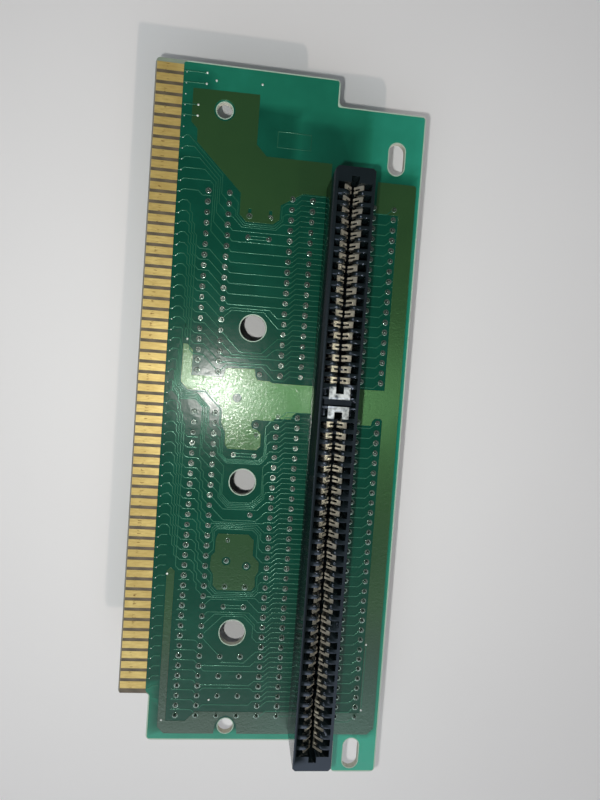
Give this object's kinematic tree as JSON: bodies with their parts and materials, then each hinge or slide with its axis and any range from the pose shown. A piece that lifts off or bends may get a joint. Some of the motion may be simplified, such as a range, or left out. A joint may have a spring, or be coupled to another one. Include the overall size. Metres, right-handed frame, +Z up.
{
  "type": "isa riser card",
  "caption": "Flat green circuit board with gold edge fingers on one long side, a long black card slot standing on its front and parallel slots on its back, for mounting expansion cards flat.",
  "frame": {"origin": "middle of the board's outline, on the plane of the back slots' mouths", "axes": "+Z up out of the board's front face, +Y along the board towards its notched end, +X across the board away from the edge fingers"},
  "size_m": [0.0662, 0.1738, 0.0306],
  "materials": {
    "solder_mask": "green solder mask over glass-epoxy board",
    "gold_plating": "gold plate, satin",
    "slot_plastic": "moulded glass-filled polyester, near black",
    "contact_metal": "plated spring bronze",
    "ceramic": "dipped resin over ceramic"
  },
  "bodies": {
    "root": {"board": "solder_mask", "edge_fingers_front": "gold_plating", "edge_fingers_back": "gold_plating", "front_slot_housing": "slot_plastic", "front_slot_contacts_left": "contact_metal", "front_slot_contacts_right": "contact_metal", "back_slot_1_housing": "slot_plastic", "back_slot_1_contacts_left": "contact_metal", "back_slot_1_contacts_right": "contact_metal", "back_slot_2_housing": "slot_plastic", "back_slot_2_contacts_left": "contact_metal", "back_slot_2_contacts_right": "contact_metal", "back_slot_3_housing": "slot_plastic", "back_slot_3_contacts_left": "contact_metal", "back_slot_3_contacts_right": "contact_metal", "capacitor_1": "ceramic", "capacitor_2": "ceramic", "capacitor_3": "ceramic", "capacitor_4": "ceramic", "capacitor_5": "ceramic", "capacitor_6": "ceramic", "capacitor_7": "ceramic", "capacitor_8": "ceramic"}
  },
  "joints": []
}
